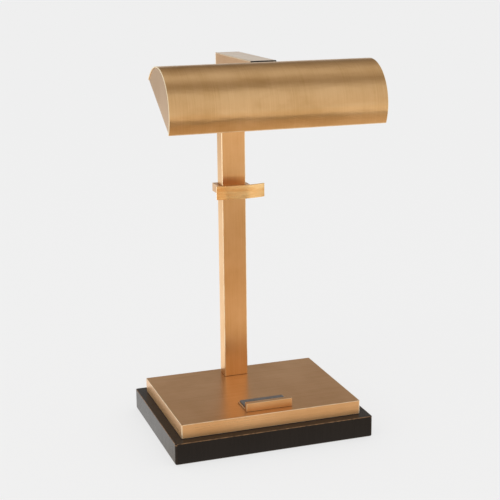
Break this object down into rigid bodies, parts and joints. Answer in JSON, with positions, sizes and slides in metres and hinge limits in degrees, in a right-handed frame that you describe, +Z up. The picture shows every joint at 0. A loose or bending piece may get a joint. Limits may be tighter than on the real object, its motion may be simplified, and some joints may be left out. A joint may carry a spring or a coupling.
{
  "type": "lighted book stand",
  "caption": "Table stand that holds a large open book upright on a ledge, with a sliding clip on a column and a tilting half-round lamp shade on an arm above.",
  "frame": {"origin": "centre of the underside of the felt below the base", "axes": "+Z up; the front, where the book faces, is -Y; +X is to the right seen from the front"},
  "size_m": [0.312, 0.266, 0.5606],
  "materials": {
    "brushed_brass": "brushed, satin, light antique tone",
    "black_base": "satin bronze-black with edges worn brown",
    "steel": "satin",
    "black_plastic": "matte",
    "porcelain": "glazed",
    "felt": "pressed felt",
    "rubber": "matte",
    "bulb_glass": "clear",
    "cable_jacket": "matte"
  },
  "bodies": {
    "stand": {"arm": "brushed_brass", "arm_back_cap": "brushed_brass", "arm_front_cap": "black_plastic", "ballast_plate": "steel", "base_block": "black_base", "base_cover": "steel", "base_felt": "felt", "bracket_screw_back": "steel", "bracket_screw_front": "steel", "column": "brushed_brass", "cover_screw_back_left": "steel", "cover_screw_back_right": "steel", "cover_screw_front_left": "steel", "cover_screw_front_right": "steel", "elbow_back_screw": "steel", "elbow_insert": "steel", "elbow_screw_left": "steel", "elbow_screw_right": "steel", "foot_insert": "steel", "foot_nut": "steel", "foot_screw_lower": "steel", "foot_screw_upper": "steel", "foot_washer": "steel", "friction_washer_left": "rubber", "friction_washer_right": "rubber", "inlet_bush": "rubber", "lamp_cable": "cable_jacket", "ledge_felt": "felt", "ledge_lip": "brushed_brass", "ledge_screw_left": "steel", "ledge_screw_right": "steel", "ledge_shelf": "brushed_brass", "nut_plate": "steel", "plinth": "brushed_brass", "plinth_screw_left": "steel", "plinth_screw_right": "steel", "swivel_bracket": "brushed_brass", "terminal_block": "black_plastic", "threaded_tube": "steel"},
    "clip": {"clip_carriage": "brushed_brass", "clip_lip": "brushed_brass", "clip_lip_pad": "felt", "clip_bridge_pad": "felt", "pressure_pad": "felt"},
    "thumb_screw": {"thumb_screw": "brushed_brass"},
    "shade": {"bulb_cap_left": "steel", "bulb_cap_right": "steel", "bulb_glass_left": "bulb_glass", "bulb_glass_right": "bulb_glass", "lamp_holder_left": "porcelain", "lamp_holder_right": "porcelain", "lamp_yoke": "brushed_brass", "pivot_bolt": "steel", "pivot_nut": "steel", "shade_cap_left": "brushed_brass", "shade_cap_right": "brushed_brass", "shade_shell": "brushed_brass"}
  },
  "joints": [
    {"name": "clip_slide", "type": "slide", "parent": "stand", "child": "clip", "axis": [0, 0, 1], "range_m": [-0.2, 0.145]},
    {"name": "thumb_screw_turn", "type": "hinge", "parent": "clip", "child": "thumb_screw", "pos_m": [0, 0.0975, 0.3549], "axis": [0, 1, 0], "range_deg": [0, 540]},
    {"name": "shade_tilt", "type": "hinge", "parent": "stand", "child": "shade", "pos_m": [0, -0.0862, 0.4999], "axis": [1, 0, 0], "range_deg": [-5, 35]}
  ]
}
